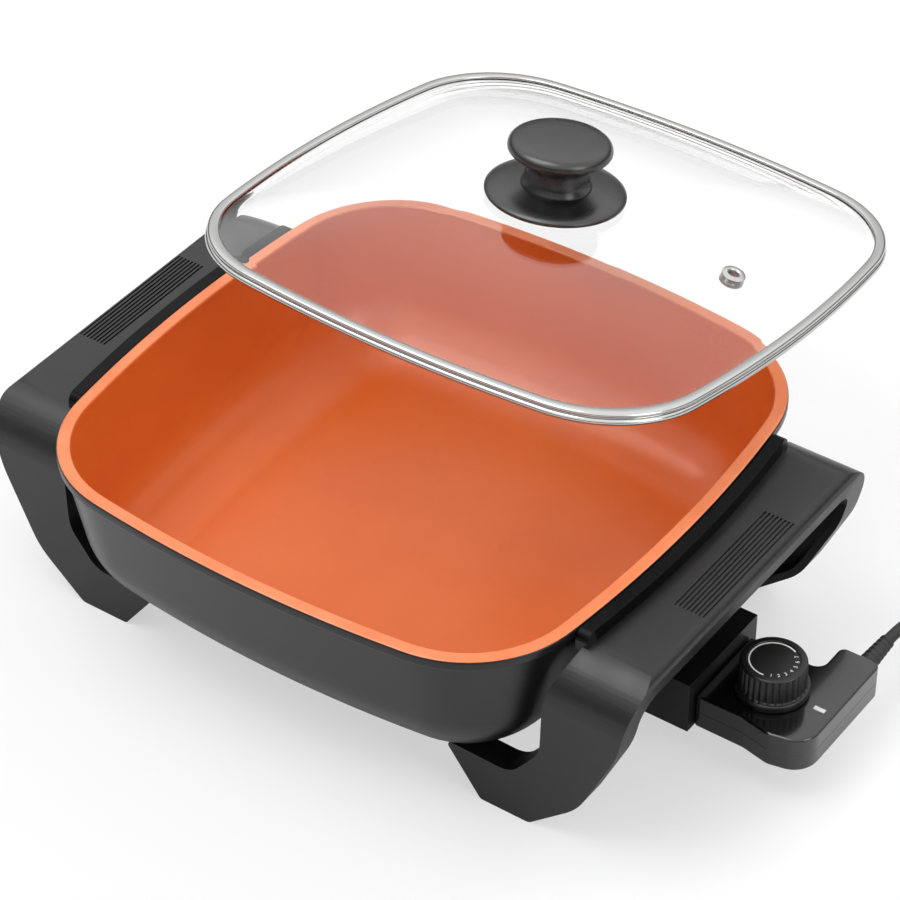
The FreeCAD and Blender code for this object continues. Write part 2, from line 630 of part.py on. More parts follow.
shell_start = dim.guardEnd + dim.runGap
shell_low = dim.heatLine - dim.shellHalf
shell_high = dim.heatLine + dim.shellHalf
horn_side = dim.shellEnd - dim.hornWide
SHELL_OUTLINE = [
    (shell_start, -dim.noseHalf, 1.5), (dim.dialX, -dim.noseHalf, 14), (dim.dialX + 15, -dim.bellyReach, 10),
    (dim.shellEnd, -dim.bellyReach + 4, dim.cornerRound), (dim.shellEnd, dim.horn, 4), (horn_side, dim.horn, 4),
    (horn_side, dim.noseHalf, 6), (shell_start, dim.noseHalf, 1.5)]
POSTS = [(dim.dialX - 2, -dim.noseHalf + 6.2), (dim.dialX - 2, dim.noseHalf - 6.2),
         (dim.shellEnd - 7, -dim.bellyReach + 13), (dim.shellEnd - 7, dim.noseHalf - 3)]


def shell_wire(z):
    return rounded_wire(SHELL_OUTLINE, lambda point: point + UP * z)


def make_shell(top):
    low = dim.heatLine if top else shell_low
    outside = prism(shell_wire(low), UP * dim.shellHalf)
    outside = outside.makeFillet(dim.shellSoft, edges_at(outside, shell_high if top else shell_low))
    floor = low if top else low + dim.shellWall
    inside = Part.Face(shell_wire(floor)).makeOffset2D(-dim.shellWall).extrude(UP * (dim.shellHalf - dim.shellWall))
    shell = outside.cut(inside)
    post_low = dim.heatLine if top else shell_low + 1
    posts = [Part.makeCylinder(dim.postRadius, dim.shellHalf - 1, Vector(x, y, post_low)) for x, y in POSTS]
    shell = shell.fuse(posts)
    tools = [rod_x(dim.sensorRadius, shell_start - 1, shell_start + 5, 0, dim.heatLine)]
    for y in (dim.pinHalf, -dim.pinHalf):
        tools.append(rod_x(dim.sleeveRadius, shell_start - 1, shell_start + 5, y, dim.heatLine))
    tools.append(Part.makeCylinder(dim.reliefRadius, 10, Vector(dim.cordX, dim.horn - 6, dim.heatLine), Vector(0, 1, 0)))
    for x, y in POSTS:
        if top:
            tools.append(Part.makeCylinder(dim.shellScrew, dim.shellHalf - 4, Vector(x, y, dim.heatLine)))
        else:
            tools.append(Part.makeCylinder(dim.shellScrew, dim.shellHalf, Vector(x, y, shell_low)))
            tools.append(Part.makeCylinder(2 * dim.shellScrew, 2, Vector(x, y, shell_low)))
    if top:
        tools.append(Part.makeCylinder(dim.shaftRadius + dim.shaftGap, 5, Vector(dim.dialX, 0, shell_high - 3)))
        tools.append(block(dim.lensX - dim.lensLong / 2, dim.lensX + dim.lensLong / 2, -dim.lensWide / 2,
                           dim.lensWide / 2, shell_high - 3, shell_high + 1))
    return shell.cut(tools).removeSplitter()


feature("controller_base", make_shell(False))
feature("controller_cover", make_shell(True))

screws = []
for index, (x, y) in enumerate(POSTS):
    head = cylinder(f"shell_head_{index}", "2 * shellScrew", "2", str(x), str(y), "heatLine - shellHalf")
    shank = cylinder(f"shell_shank_{index}", "shellScrew", "2 * shellHalf - 6", str(x), str(y),
                     "heatLine - shellHalf + 2")
    screws.append(fuse(f"shell_screw_{index}", [head, shank]))
keep(compound("shell_screws", screws), "shell_screws")

sleeves = []
for side, name in ((1, "back"), (-1, "front")):
    length = "sleeveEnd - sleeveStart"
    outer = cylinder("sleeve_" + name, "sleeveRadius", length, "sleeveStart", f"{side} * pinHalf", "heatLine", ALONG_X)
    inner = cylinder("sleeve_bore_" + name, "pinRadius + sleeveGap", "bossEnd + pinReach + 4 - sleeveStart",
                     "sleeveStart", f"{side} * pinHalf", "heatLine", ALONG_X)
    sleeves.append(cut("sleeve_tube_" + name, outer, inner))
keep(compound("contact_sleeves", sleeves), "contact_sleeves")

rod = cylinder("rod", "sensorRadius", "guardEnd + 10 - sensorTip - sensorRadius", "sensorTip + sensorRadius", "0",
               "heatLine", ALONG_X)
tip = doc.addObject("Part::Sphere", "rod_tip")
bind(tip, Radius="sensorRadius")
place(tip, "sensorTip + sensorRadius", "0", "heatLine")
keep(fuse("sensor_rod", [rod, tip]), "sensor_rod")

frame_low = "heatLine - shellHalf + shellWall"
foot = box("frame_foot", "dialX + 12 - guardEnd - 8", "14", "frameThick", "guardEnd + 8", "-7", frame_low)
upright = box("frame_upright", "2", "14", "12", "guardEnd + 8", "-7", frame_low)
eye = cylinder("frame_eye", "sensorRadius", "6", "guardEnd + 5", "0", "heatLine", ALONG_X)
bracket = fuse("frame_bracket", [foot, upright])
keep(cut("thermostat_frame", bracket, eye), "thermostat_frame")

stack_low = f"({frame_low} + frameThick)"
keep(box("insulator_stack", "7", "10", "5", "guardEnd + 12", "-5", stack_low), "insulator_stack")
keep(box("contact_strips", "dialX + 8 - guardEnd - 12", "8", "stripThick", "guardEnd + 12", "-4",
         f"{stack_low} + 5"), "contact_strips")
keep(box("bimetal_strip", "dialX + 10 - guardEnd - 19.3", "7", "stripThick", "guardEnd + 19.3", "-3.5",
         f"{stack_low} + 2"), "bimetal_strip")
keep(cylinder("contact_post", "1.5", "5 - 2 - stripThick", "dialX + 4", "0", f"{stack_low} + 2 + stripThick"),
     "contact_post")

lens_low = "heatLine + shellHalf - 3"
keep(box("indicator_lens", "lensLong", "lensWide", "3.3", "lensX - lensLong / 2", "-lensWide / 2", lens_low),
     "indicator_lens")
keep(cylinder("indicator_lamp", "lampRadius", "lampLong", "lensX - lampLong / 2 - 1", "0",
              f"{lens_low} - lampRadius", ALONG_X), "indicator_lamp")

# Dial and its cam shaft

dial_low = "(heatLine + shellHalf + runGap)"


def make_dial():
    base = shell_high + dim.runGap
    middle = Vector(dim.dialX, 0, base)
    knob = Part.makeCylinder(dim.dialSkirt, dim.dialStep, middle)
    knob = knob.makeFillet(1.0, edges_at(knob, base + dim.dialStep))
    grip = Part.makeCone(dim.dialRadius + 0.4, dim.dialRadius, dim.dialHigh - dim.dialStep, middle + UP * dim.dialStep)
    grip = grip.makeFillet(1.2, edges_at(grip, base + dim.dialHigh))
    count = int(dim.dialFlutes)
    flutes = []
    for index in range(count):
        angle = 2 * math.pi * index / count
        out = Vector(math.cos(angle), math.sin(angle), 0) * (dim.dialRadius + 0.5)
        flutes.append(Part.makeCylinder(dim.fluteRadius, dim.dialHigh, middle + out + UP * (dim.dialStep + 0.8)))
    knob = knob.fuse(grip).cut(flutes)
    hole = Part.makeCylinder(dim.shaftRadius, 10, middle)
    return knob.cut(hole).removeSplitter()


feature("dial_knob", make_dial())
shaft_low = f"({stack_low} + 5 + stripThick + runGap)"
shaft = cylinder("shaft", "shaftRadius", f"{dial_low} + 10 - {shaft_low}", "dialX", "0", shaft_low)
cam = cylinder("cam", "camRadius", "2", "dialX", "0", shaft_low)
keep(fuse("dial_shaft", [shaft, cam]), "dial_shaft")


# Cord: strain relief, free stretch, put-away coil and plug

relief_end = dim.horn + dim.reliefLong
cord_height = dim.cordRadius + dim.floorGap
coil_start = Vector(dim.coilX - dim.coilOuter, dim.coilY - 2 * dim.cordRadius, cord_height)
CORD_ROUTE = [
    Vector(dim.cordX, relief_end, dim.heatLine), Vector(227.5, 86.0, 29.2), Vector(227.2, 104.0, 19.6),
    Vector(227.0, 122.5, 7.4), Vector(227.5, 141.0, cord_height), coil_start]


def tube_path(route):
    """Straight runs joined by tangent arcs, as large as the two runs allow."""
    edges = []
    here = route[0]
    for before, corner, after in zip(route, route[1:], route[2:]):
        back = before - corner
        ahead = after - corner
        shorter = min(back.Length, ahead.Length)
        back.normalize()
        ahead.normalize()
        half = back.getAngle(ahead) / 2
        run = 0.45 * shorter
        radius = run * math.tan(half)
        middle = back + ahead
        middle.normalize()
        top = corner + middle * (radius / math.sin(half) - radius)
        edges.append(Part.LineSegment(here, corner + back * run).toShape())
        edges.append(Part.Arc(corner + back * run, top, corner + ahead * run).toShape())
        here = corner + ahead * run
        print(f"cord bend radius {radius:.1f} mm")
    edges.append(Part.LineSegment(here, route[-1]).toShape())
    return Part.Wire(edges)


def round_tube(path, start, direction):
    ring = Part.Wire(Part.makeCircle(dim.cordRadius, start, direction))
    tube = path.makePipeShell([ring], True, False)
    wanted = math.pi * dim.cordRadius ** 2 * path.Length
    print(f"tube length {path.Length:.1f} mm, volume {tube.Volume:.0f}, section times length {wanted:.0f}")
    return tube


def coil_point(angle):
    """Place and direction on the coil after turning through an angle, clockwise from above."""
    layer_turn = dim.layerTurns * 2 * math.pi
    climb = math.pi
    rate = (dim.coilOuter - dim.coilInner) / layer_turn
    if angle <= layer_turn:
        radius = dim.coilOuter - rate * angle
        height = cord_height
        slope = 0.0
        inward = rate
    elif angle <= layer_turn + climb:
        share = (angle - layer_turn) / climb
        radius = dim.coilInner - dim.coilDip * math.sin(math.pi * share) ** 2
        height = cord_height + dim.loopPitch * (share - math.sin(2 * math.pi * share) / (2 * math.pi))
        slope = dim.loopPitch * (1 - math.cos(2 * math.pi * share)) / climb
        inward = dim.coilDip * math.sin(2 * math.pi * share) * math.pi / climb
    else:
        radius = dim.coilInner + rate * (angle - layer_turn - climb)
        height = cord_height + dim.loopPitch
        slope = 0.0
        inward = -rate
    turned = math.pi - angle
    out = Vector(math.cos(turned), math.sin(turned), 0)
    onward = Vector(math.sin(turned), -math.cos(turned), 0)
    place_now = Vector(dim.coilX, dim.coilY, height) + out * radius
    heading = onward * radius - out * inward + UP * slope
    heading.normalize()
    return place_now, heading


def biarc(start, start_way, end, end_way):
    """Two tangent arcs that join two places with their directions."""
    gap = end - start
    ways = start_way + end_way
    bend = 2 * (1 - start_way.dot(end_way))
    along = gap.dot(ways)
    reach = (-along + math.sqrt(along ** 2 + bend * gap.dot(gap))) / bend
    meet = (start + start_way * reach + end - end_way * reach) / 2
    arcs = []
    for first, last, way in ((start, meet, start_way), (end, meet, end_way * -1)):
        chord = last - first
        straight = Vector(chord)
        straight.normalize()
        aside = way - straight * way.dot(straight)
        angle = straight.getAngle(way)
        aside.normalize()
        middle = (first + last) / 2 + aside * (chord.Length / 2 * math.tan(angle / 2))
        ends = (first, last) if first == start else (last, first)
        arcs.append(Part.Arc(ends[0], middle, ends[1]).toShape())
    return arcs


quarter_count = round((2 * dim.layerTurns + 0.5) * 4)
quarters = [index * math.pi / 2 for index in range(quarter_count + 1)]
stations = [coil_point(angle) for angle in quarters]
stations[0] = (stations[0][0], Vector(0, 1, 0))
stations[-1] = (stations[-1][0], Vector(0, 1, 0))
coil_edges = [Part.LineSegment(coil_start, stations[0][0]).toShape()]
for (here, way), (there, onward) in zip(stations, stations[1:]):
    coil_edges.extend(biarc(here, way, there, onward))
coil_end = stations[-1][0] + Vector(0, dim.cordLead, 0)
coil_edges.append(Part.LineSegment(stations[-1][0], coil_end).toShape())
coil_path = Part.Wire(coil_edges)


def least_gap(path, away):
    """Smallest gap between turns, over points further apart along the line than a distance."""
    points = path.discretize(Distance=1.5)
    skip = int(away / 1.5)
    best = min((points[i] - points[j]).Length
               for i in range(0, len(points), 2) for j in range(i + skip, len(points), 2))
    return best - 2 * dim.cordRadius


print(f"coil least gap to itself {least_gap(coil_path, 60):.2f} mm")
stretch_path = tube_path(CORD_ROUTE)
feature("power_cord", round_tube(stretch_path, CORD_ROUTE[0], CORD_ROUTE[1] - CORD_ROUTE[0]))
feature("cord_coil", round_tube(coil_path, coil_start, Vector(0, 1, 0)))
print(f"cord length {stretch_path.Length + coil_path.Length:.0f} mm")

INWARD = Rotation(Vector(1, 0, 0), -90)
revolved("strain_relief", [
    ("0", "0 - shellWall - 2"), ("reliefRadius + 1.6", "0 - shellWall - 2"), ("reliefRadius + 1.6", "0 - shellWall"),
    ("reliefRadius", "0 - shellWall"), ("reliefRadius", "reliefLong * 0.2"), ("reliefTip", "reliefLong"),
    ("0", "reliefLong")], Placement(Vector(dim.cordX, dim.horn, dim.heatLine), INWARD))

plug_axis = Vector(coil_end.x, coil_end.y, coil_end.z)


def make_plug():
    boot_end = coil_end.y + dim.bootLong
    boot = Part.makeCone(dim.reliefTip, dim.reliefRadius + 1, dim.bootLong + 1, plug_axis, Vector(0, 1, 0))
    wide = dim.plugWide / 2
    outline = [(coil_end.x - wide + 3, boot_end, 3), (coil_end.x + wide - 3, boot_end, 3),
               (coil_end.x + wide, boot_end + 8, 6), (coil_end.x + wide, boot_end + dim.plugLong, 1.5),
               (coil_end.x - wide, boot_end + dim.plugLong, 1.5), (coil_end.x - wide, boot_end + 8, 6)]
    low = coil_end.z - dim.plugHigh / 2
    body = prism(rounded_wire(outline, lambda point: point + UP * low), UP * dim.plugHigh)
    body = body.makeFillet(2.0, edges_at(body, low) + edges_at(body, low + dim.plugHigh))
    return body.fuse(boot).removeSplitter()


feature("plug_body", make_plug())
blades = []
for side in (1, -1):
    x = coil_end.x + side * dim.bladeHalf
    y = coil_end.y + dim.bootLong + dim.plugLong
    blade = block(x - dim.bladeThick / 2, x + dim.bladeThick / 2, y, y + dim.bladeLong,
                  coil_end.z - dim.bladeWide / 2, coil_end.z + dim.bladeWide / 2)
    tip_edges = [edge for edge in blade.Edges
                 if abs(edge.BoundBox.YMin - y - dim.bladeLong) < 0.01 and edge.BoundBox.XLength > 1]
    blades.append(blade.makeFillet(1.5, tip_edges))
feature("plug_blades", Part.Compound(blades))


# Check every object, then write one file for each piece

doc.recompute()
for item in doc.Objects:
    if "Invalid" in item.State or "Error" in item.State:
        raise RuntimeError(f"{item.Label} failed: {item.State}")
for item in pieces:
    if item.Shape.isNull() or not item.Shape.isValid():
        raise RuntimeError(f"{item.Label} has no valid shape")
os.makedirs("parts", exist_ok=True)
for item in pieces:
    item.Shape.exportStep(f"parts/{item.Label}.step")
    print(item.Label, len(item.Shape.Solids), round(item.Shape.Volume))
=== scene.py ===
import math

import bmesh
import bpy
import numpy as np
from mathutils import Matrix, Vector


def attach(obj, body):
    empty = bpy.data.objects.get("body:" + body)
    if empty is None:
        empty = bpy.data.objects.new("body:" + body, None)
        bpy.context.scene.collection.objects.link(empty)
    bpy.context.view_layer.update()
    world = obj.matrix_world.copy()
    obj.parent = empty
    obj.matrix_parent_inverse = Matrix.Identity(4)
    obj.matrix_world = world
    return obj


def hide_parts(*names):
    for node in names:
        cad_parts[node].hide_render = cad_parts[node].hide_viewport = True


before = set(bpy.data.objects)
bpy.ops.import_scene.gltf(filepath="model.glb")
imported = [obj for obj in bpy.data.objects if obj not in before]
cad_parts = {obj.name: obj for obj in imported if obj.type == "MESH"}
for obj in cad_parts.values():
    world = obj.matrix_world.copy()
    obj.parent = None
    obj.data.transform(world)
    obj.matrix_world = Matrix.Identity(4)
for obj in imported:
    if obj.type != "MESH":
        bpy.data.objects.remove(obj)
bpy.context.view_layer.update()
print("frame loaded:", len(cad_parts), "nodes")

mm = 0.001

# camera solved from the outline of the pan's lip
view = {"azimuth": 35.08, "elevation": 39.56, "distance": 1848.2, "lookAt": (-12.065, 38.067, 60.0),
        "lens": 145.1, "sensor": 36, "clipEnd": 20}


def makeCamera():
    turn, lift = math.radians(view["azimuth"]), math.radians(view["elevation"])
    out = Vector((math.sin(turn) * math.cos(lift), -math.cos(turn) * math.cos(lift), math.sin(lift)))
    target = Vector(view["lookAt"])
    data = bpy.data.cameras.new("camera")
    data.lens = view["lens"]
    data.sensor_width = view["sensor"]
    data.clip_end = view["clipEnd"]
    camera = bpy.data.objects.new("camera", data)
    camera.location = (target + out * view["distance"]) * mm
    camera.rotation_euler = (-out).to_track_quat("-Z", "Y").to_euler()
    bpy.context.scene.collection.objects.link(camera)
    bpy.context.scene.camera = camera


makeCamera()


# sRGB hex to linear RGBA
def linear(hexColour):
    parts = [int(hexColour[i:i + 2], 16) / 255 for i in (1, 3, 5)]
    return tuple(p / 12.92 if p <= 0.04045 else ((p + 0.055) / 1.055) ** 2.4 for p in parts) + (1,)


# adds one node; each link is a value or another node's output socket, and _0 names a socket by its number
def node(tree, kind, settings=None, **links):
    made = tree.nodes.new(kind)
    for key, value in (settings or {}).items():
        setattr(made, key, value)
    for name, value in links.items():
        numbered = name[0] == "_"
        socket = made.inputs[int(name[1:]) if numbered else name.replace("_", " ")]
        if isinstance(value, bpy.types.NodeSocket):
            tree.links.new(value, socket)
        else:
            socket.default_value = value
    return made


# a Principled material whose constants sit on the shader's own sockets
def material(name, colour, metallic=0.0, roughness=0.5, **extra):
    made = bpy.data.materials.new(name)
    made.use_nodes = True
    shader = made.node_tree.nodes["Principled BSDF"]
    shader.inputs["Base Color"].default_value = linear(colour)
    shader.inputs["Metallic"].default_value = metallic
    shader.inputs["Roughness"].default_value = roughness
    for key, value in extra.items():
        shader.inputs[key.replace("_", " ")].default_value = value
    return made, made.node_tree, shader


def objectPoint(tree):
    return node(tree, "ShaderNodeTexCoord").outputs["Object"]


# noise as bump, its size and depth in real millimetres
def grain(tree, shader, sizeMm, strength, depthMm, detail=3.0):
    noise = node(tree, "ShaderNodeTexNoise", Vector=objectPoint(tree), Scale=1000 / sizeMm, Detail=detail)
    bump = node(tree, "ShaderNodeBump", Strength=strength, Distance=depthMm * mm, Height=noise.outputs[0])
    tree.links.new(bump.outputs[0], shader.inputs["Normal"])


# the base colour drifts between two close shades over a real distance
def vary(tree, shader, colourA, colourB, sizeMm):
    noise = node(tree, "ShaderNodeTexNoise", Vector=objectPoint(tree), Scale=1000 / sizeMm, Detail=4.0)
    ramp = node(tree, "ShaderNodeValToRGB", Fac=noise.outputs[0])
    for element, position, colour in zip(ramp.color_ramp.elements, (0.35, 0.65), (colourA, colourB)):
        element.position = position
        element.color = linear(colour)
    tree.links.new(ramp.outputs[0], shader.inputs["Base Color"])


# roughness that varies a little, as handled plastic and rolled metal do
def roughen(tree, shader, low, high, sizeMm):
    noise = node(tree, "ShaderNodeTexNoise", Vector=objectPoint(tree), Scale=1000 / sizeMm, Detail=5.0)
    spread = node(tree, "ShaderNodeMapRange", Value=noise.outputs[0], From_Min=0.3, From_Max=0.7,
                  To_Min=low, To_Max=high)
    tree.links.new(spread.outputs[0], shader.inputs["Roughness"])


def ceramicLining():
    # sprayed copper-tone ceramic nonstick: satin, with a faint drift of shade and an orange-peel skin
    made, tree, shader = material("ceramicLining", "#D9622A", roughness=0.36, Coat_Weight=0.25,
                                  Coat_Roughness=0.25)
    vary(tree, shader, "#D46220", "#D86724", 55)
    grain(tree, shader, 1.6, 0.10, 0.05, 2.0)
    return made


def ceramicLipLit():
    # the same coating over the machined lip, paler where it is thin, with a painted highlight where it faces
    # the light
    made, tree, shader = material("ceramicLipLit", "#E87C46", roughness=0.34, Coat_Weight=0.2,
                                  Coat_Roughness=0.2)
    vary(tree, shader, "#E4753E", "#EC8450", 30)
    return made


def castExterior():
    # die-cast aluminium with a baked charcoal paint: satin, slightly pebbled
    made, tree, shader = material("castExterior", "#101011", roughness=0.3, Specular_IOR_Level=0.38)
    vary(tree, shader, "#0F0F10", "#141415", 60)
    grain(tree, shader, 0.9, 0.16, 0.06)
    return made


def phenolic(name, colourA, colourB, roughness, gloss=0.42):
    # compression-moulded phenolic: near black, fine spark-eroded matt, soft sheen on the bends
    made, tree, shader = material(name, colourA, roughness=roughness, Specular_IOR_Level=gloss)
    vary(tree, shader, colourA, colourB, 45)
    roughen(tree, shader, roughness - 0.05, roughness + 0.06, 22)
    grain(tree, shader, 0.8, 0.08, 0.05)
    return made


def glossShell():
    # ABS moulded against a polished tool: dark and shiny
    made, tree, shader = material("glossShell", "#0C0C0D", roughness=0.16, Coat_Weight=0.4,
                                  Coat_Roughness=0.06)
    roughen(tree, shader, 0.13, 0.21, 30)
    return made


def polishedSteel():
    # rolled stainless band, mirror buffed, its shine a little uneven
    made, tree, shader = material("polishedSteel", "#B6B6B4", metallic=1.0, roughness=0.12)
    roughen(tree, shader, 0.08, 0.17, 12)
    return made


def platedSteel():
    # zinc-plated steel, stamped or turned
    made, tree, shader = material("platedSteel", "#B4B4B2", metallic=1.0, roughness=0.35)
    roughen(tree, shader, 0.28, 0.42, 6)
    return made


def sheathSteel():
    # sheath of the heating element, browned by heat
    made, tree, shader = material("sheathSteel", "#6B6259", metallic=1.0, roughness=0.5)
    vary(tree, shader, "#5F564E", "#7A6F63", 18)
    return made


def machinedBrass():
    # turned brass, lightly tarnished
    made, tree, shader = material("machinedBrass", "#C9A35A", metallic=1.0, roughness=0.3)
    roughen(tree, shader, 0.24, 0.38, 5)
    return made


def temperedGlass():
    # clear soda-lime glass, 4 mm, very slightly wavy
    made, tree, shader = material("temperedGlass", "#FFFFFF", roughness=0.0, Transmission_Weight=1.0,
                                  IOR=1.45, Specular_IOR_Level=0.9)
    grain(tree, shader, 60, 0.03, 0.2, 1.0)
    return made


def softRubber(name, colour):
    # flexible PVC or silicone: dull, a little dusty
    made, tree, shader = material(name, colour, roughness=0.55)
    roughen(tree, shader, 0.5, 0.62, 8)
    return made


def firedCeramic():
    made, tree, shader = material("firedCeramic", "#D8D3C6", roughness=0.6)
    grain(tree, shader, 0.5, 0.2, 0.05)
    return made


def printedInk():
    # pad-printed scale, slightly uneven
    made, tree, shader = material("printedInk", "#E4E4E0", roughness=0.5)
    vary(tree, shader, "#DADAD6", "#ECECE8", 2)
    return made


def clearLens():
    made, tree, shader = material("clearLens", "#F2F2EE", roughness=0.2, Transmission_Weight=0.3)
    roughen(tree, shader, 0.15, 0.25, 3)
    return made


def lampGlass():
    made, tree, shader = material("lampGlass", "#E8A070", roughness=0.15, Transmission_Weight=0.4)
    roughen(tree, shader, 0.1, 0.2, 3)
    return made


lining = ceramicLining()
lipCoatAndLight = ceramicLipLit()
cast = castExterior()
# painted shade: a darker, nearly shineless copy of the handle phenolic, for the heat ridge
ridgeShadePlastic = phenolic("ridgeShadedPhenolic", "#050506", "#080809", 0.3, 0.08)
handlePlastic = phenolic("handlePhenolic", "#101011", "#151516", 0.36)
guardPlastic = phenolic("guardPhenolic", "#0E0E0F", "#131314", 0.34)
knobPlastic = phenolic("knobPhenolic", "#101011", "#141415", 0.3, 0.75)
dialPlastic = phenolic("dialPhenolic", "#0F0F10", "#141415", 0.32)
shellPlastic = glossShell()
bandSteel = polishedSteel()
plated = platedSteel()
sheath = sheathSteel()
brass = machinedBrass()
glass = temperedGlass()
cordRubber = softRubber("cordVinyl", "#1B1B1C")
gasketRubber = softRubber("gasketSilicone", "#262627")
ceramic = firedCeramic()
ink = printedInk()
lensPlastic = clearLens()
lampMaterial = lampGlass()
print("materials made")


def addMesh(name, points, faces, materials):
    mesh = bpy.data.meshes.new(name)
    mesh.from_pydata(points.tolist(), [], faces.tolist())
    for one in materials:
        mesh.materials.append(one)
    mesh.polygons.foreach_set("use_smooth", [True] * len(mesh.polygons))
    mesh.update()
    made = bpy.data.objects.new(name, mesh)
    bpy.context.scene.collection.objects.link(made)
    return made


# edges sharper than an angle stay crisp under smooth shading
def sharpen(piece, degrees):
    piece.data.set_sharp_from_angle(angle=math.radians(degrees))


# merges doubles and points every face outwards
def outward(piece):
    mergeGap = 1e-6
    work = bmesh.new()
    work.from_mesh(piece.data)
    bmesh.ops.remove_doubles(work, verts=work.verts, dist=mergeGap)
    bmesh.ops.recalc_face_normals(work, faces=work.faces)
    work.to_mesh(piece.data)
    work.free()
    piece.data.update()


# quads of a grid whose columns wrap round; rows wrap too when asked
def gridFaces(rows, columns, closeRows=False):
    row = np.arange(rows if closeRows else rows - 1)[:, None]
    column = np.arange(columns)[None]
    here, above = row * columns, (row + 1) % rows * columns
    right = (column + 1) % columns
    corners = [here + column, here + right, above + right, above + column]
    return np.stack([corner.ravel() for corner in corners], 1)


# Points round a square with bowed sides: each quarter is half a side arc of radius bow, a corner arc
# tangent to both sides, and half the next side arc. Each part has its own share of the points, evenly
# spread over it. Arrays of halves are allowed.
def bowedSquare(half, corner, bow, count):
    half, corner, bow = (np.atleast_1d(np.asarray(v, float))[:, None] for v in (half, corner, bow))
    shift = bow - half
    reach = bow - corner
    centre = (np.sqrt(2 * reach ** 2 - shift ** 2) - shift) / 2
    sideAngle = np.arctan2(centre, centre + shift)
    sideRun = bow * sideAngle
    cornerRun = corner * (np.pi / 2 - 2 * sideAngle)
    turnEnd = sideRun + cornerRun
    total = 2 * sideRun + cornerRun
    share = np.arange(count // 4)[None] / (count // 4)
    sideShare, cornerShare = 0.34, 0.32
    lastShare = share - sideShare - cornerShare
    along = np.where(share < sideShare, share / sideShare * sideRun,
                     np.where(share < sideShare + cornerShare,
                              sideRun + (share - sideShare) / cornerShare * cornerRun,
                              turnEnd + lastShare / sideShare * sideRun))
    first = along / bow
    bend = sideAngle + (along - sideRun) / corner
    last = np.pi / 2 - (total - along) / bow
    x = np.where(along <= sideRun, -shift + bow * np.cos(first),
                 np.where(along <= turnEnd, centre + corner * np.cos(bend), bow * np.cos(last)))
    y = np.where(along <= sideRun, bow * np.sin(first),
                 np.where(along <= turnEnd, centre + corner * np.sin(bend), -shift + bow * np.sin(last)))
    xs = np.concatenate([x, -y, -x, y], 1)
    ys = np.concatenate([y, x, -y, -x], 1)
    return xs, ys


# points of an arc in a profile, angles in degrees
def arc(centreU, centreV, radius, start, end, count):
    angle = np.radians(np.linspace(start, end, count))
    return np.stack([centreU + radius * np.cos(angle), centreV + radius * np.sin(angle)], 1)


atOrigin = Matrix.Identity(4)
ringColumns = 192


# points in millimetres, turned and moved into place, in metres
def placed(points, place):
    return points.reshape(-1, 3) * mm @ np.array(place.to_3x3()).T + np.array(place.translation)


# Carries a profile of (half width, height) round the bowed square; every row is one bowed square.
def profileRing(name, profile, cornerOf, bowOf, materials, place, columns, closed=False):
    halves, heights = profile.T
    xs, ys = bowedSquare(halves, cornerOf(halves), bowOf(halves), columns)
    zs = np.repeat(heights[:, None], columns, 1)
    points = placed(np.stack([xs, ys, zs], 2), place)
    return addMesh(name, points, gridFaces(len(profile), columns, closed), materials)


# closes a ring grid's first and last rows with one face each
def capEnds(piece, columns, rows):
    work = bmesh.new()
    work.from_mesh(piece.data)
    work.verts.ensure_lookup_table()
    for row in (0, rows - 1):
        work.faces.new([work.verts[row * columns + c] for c in range(columns)])
    for face in work.faces:
        face.smooth = True
    work.to_mesh(piece.data)
    work.free()


# Turns a profile of (radius, height) about Z; one that ends where it began has no caps.
def lathe(name, profile, materials, place, steps):
    profile = np.asarray(profile, float)
    smallestRadius = 1e-4
    angle = np.arange(steps) / steps * 2 * np.pi
    radius = np.maximum(profile[:, 0], smallestRadius)[:, None]
    heights = np.repeat(profile[:, 1][:, None], steps, 1)
    points = placed(np.stack([radius * np.cos(angle), radius * np.sin(angle), heights], 2), place)
    closed = bool(np.allclose(profile[0], profile[-1]))
    if closed:
        points = points[:-steps]
    piece = addMesh(name, points, gridFaces(len(profile) - closed, steps, closed), materials)
    if not closed:
        capEnds(piece, steps, len(profile))
    outward(piece)
    sharpen(piece, 40)
    return piece


# A copy of a CAD node, merged and with its sharp edges rounded as a mould leaves them.
def dressed(nodeName, newName, one, body, width):
    sharpAngle, flatAngle, mergeGap = 32, 0.5, 2e-6
    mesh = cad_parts[nodeName].data.copy()
    mesh.name = newName
    mesh.materials.clear()
    mesh.materials.append(one)
    piece = bpy.data.objects.new(newName, mesh)
    bpy.context.scene.collection.objects.link(piece)
    work = bmesh.new()
    work.from_mesh(mesh)
    bmesh.ops.remove_doubles(work, verts=work.verts, dist=mergeGap)
    bmesh.ops.dissolve_limit(work, angle_limit=math.radians(flatAngle), verts=work.verts, edges=work.edges)
    for face in work.faces:
        face.smooth = True
        face.material_index = 0
    work.to_mesh(mesh)
    work.free()
    bevel = piece.modifiers.new("bevel", "BEVEL")
    bevel.width = width * mm
    bevel.segments = 2
    bevel.limit_method = "ANGLE"
    bevel.angle_limit = math.radians(sharpAngle)
    bevel.harden_normals = True
    bevel.use_clamp_overlap = True
    even = piece.modifiers.new("evenNormals", "WEIGHTED_NORMAL")
    even.keep_sharp = True
    sharpen(piece, sharpAngle)
    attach(piece, body)
    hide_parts(nodeName)
    return piece


# cord

cordSizes = {
    "radius": 3.0, "floorGap": 0.2, "exit": (227.5, 71.0, 30.0),
    "sag": [(227.5, 86.0, 29.2), (227.2, 104.0, 19.6), (227.0, 122.5, 7.4)], "landing": (227.5, 141.0),
    "coilX": 266.2, "coilY": 165.0, "outer": 38.7, "inner": 26.8, "dip": 1.8, "layerTurns": 1.75,
    "pitch": 6.7, "coilPoints": 59, "lead": 28.0,
}


